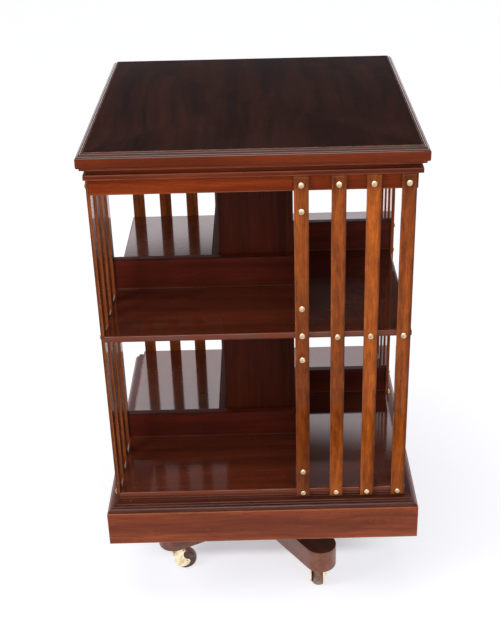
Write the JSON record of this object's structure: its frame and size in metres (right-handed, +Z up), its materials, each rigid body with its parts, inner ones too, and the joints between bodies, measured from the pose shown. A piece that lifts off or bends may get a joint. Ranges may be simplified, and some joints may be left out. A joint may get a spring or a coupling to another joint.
{
  "type": "revolving bookcase",
  "caption": "Square two-tier open bookcase with upright slats, turning on a spindle above a cross base with swivel castors.",
  "frame": {"origin": "on the spindle's axis, at floor level", "axes": "+Z up along the spindle; -Y out of the front face; +X to the right of someone facing the front"},
  "size_m": [0.516, 0.516, 0.878],
  "materials": {
    "dark_mahogany": "dark French polish",
    "mahogany": "French polish",
    "slat_mahogany": "French polish",
    "brass": "lacquered, worn",
    "iron": "oiled",
    "wheel": "dark, worn"
  },
  "bodies": {
    "base": {"cross_bar_lower": "dark_mahogany", "cross_bar_upper": "dark_mahogany", "pillar": "dark_mahogany", "pillar_screws": "iron", "spindle": "iron", "spindle_flange": "iron", "spindle_flange_screws": "iron", "castor_plates": "brass", "castor_plate_screws": "brass"},
    "carcass": {"lower_bearing": "iron", "lower_bearing_screws": "iron", "bearing_block": "mahogany", "pivot_cup": "iron", "pivot_cup_screws": "iron", "head_block": "mahogany", "plinth_boards": "mahogany", "plinth_moulding": "mahogany", "plinth_corner_blocks": "mahogany", "bottom_shelf": "mahogany", "middle_shelf": "mahogany", "sub_top": "mahogany", "column_boards": "mahogany", "low_rails_lower": "mahogany", "top_rails_lower": "mahogany", "low_rails_upper": "mahogany", "top_rails_upper": "mahogany", "frieze_boards": "mahogany", "cornice": "mahogany", "top_board": "dark_mahogany", "top_edging": "mahogany", "slat_studs": "brass", "slat_front_1": "slat_mahogany", "slat_front_2": "slat_mahogany", "slat_front_3": "slat_mahogany", "slat_front_4": "slat_mahogany", "slat_right_1": "slat_mahogany", "slat_right_2": "slat_mahogany", "slat_right_3": "slat_mahogany", "slat_right_4": "slat_mahogany", "slat_back_1": "slat_mahogany", "slat_back_2": "slat_mahogany", "slat_back_3": "slat_mahogany", "slat_back_4": "slat_mahogany", "slat_left_1": "slat_mahogany", "slat_left_2": "slat_mahogany", "slat_left_3": "slat_mahogany", "slat_left_4": "slat_mahogany"},
    "castor_1": {"castor_fork_1": "brass", "castor_axle_1": "brass"},
    "wheel_1": {"castor_wheel_1": "wheel"},
    "castor_2": {"castor_fork_2": "brass", "castor_axle_2": "brass"},
    "wheel_2": {"castor_wheel_2": "wheel"},
    "castor_3": {"castor_fork_3": "brass", "castor_axle_3": "brass"},
    "wheel_3": {"castor_wheel_3": "wheel"},
    "castor_4": {"castor_fork_4": "brass", "castor_axle_4": "brass"},
    "wheel_4": {"castor_wheel_4": "wheel"}
  },
  "joints": [
    {"name": "carcass_turn", "type": "hinge", "parent": "base", "child": "carcass", "pos_m": [0, 0, 0.26], "axis": [0, 0, 1], "continuous": true},
    {"name": "castor_1_swivel", "type": "hinge", "parent": "base", "child": "castor_1", "pos_m": [0.09657, -0.16072, 0.0507], "axis": [0, 0, 1], "continuous": true},
    {"name": "wheel_1_roll", "type": "hinge", "parent": "castor_1", "child": "wheel_1", "pos_m": [0.09874, -0.14841, 0.0205], "axis": [-0.9848, 0.1736, 0], "continuous": true},
    {"name": "castor_2_swivel", "type": "hinge", "parent": "base", "child": "castor_2", "pos_m": [-0.16072, -0.09657, 0.0507], "axis": [0, 0, 1], "continuous": true},
    {"name": "wheel_2_roll", "type": "hinge", "parent": "castor_2", "child": "wheel_2", "pos_m": [-0.14864, -0.09333, 0.0205], "axis": [-0.2588, 0.9659, 0], "continuous": true},
    {"name": "castor_3_swivel", "type": "hinge", "parent": "base", "child": "castor_3", "pos_m": [-0.09657, 0.16072, 0.0507], "axis": [0, 0, 1], "continuous": true},
    {"name": "wheel_3_roll", "type": "hinge", "parent": "castor_3", "child": "wheel_3", "pos_m": [-0.10125, 0.14913, 0.0205], "axis": [0.9272, -0.3746, 0], "continuous": true},
    {"name": "castor_4_swivel", "type": "hinge", "parent": "base", "child": "castor_4", "pos_m": [0.16072, 0.09657, 0.0507], "axis": [0, 0, 1], "continuous": true},
    {"name": "wheel_4_roll", "type": "hinge", "parent": "castor_4", "child": "wheel_4", "pos_m": [0.14921, 0.09169, 0.0205], "axis": [0.3907, -0.9205, 0], "continuous": true}
  ]
}
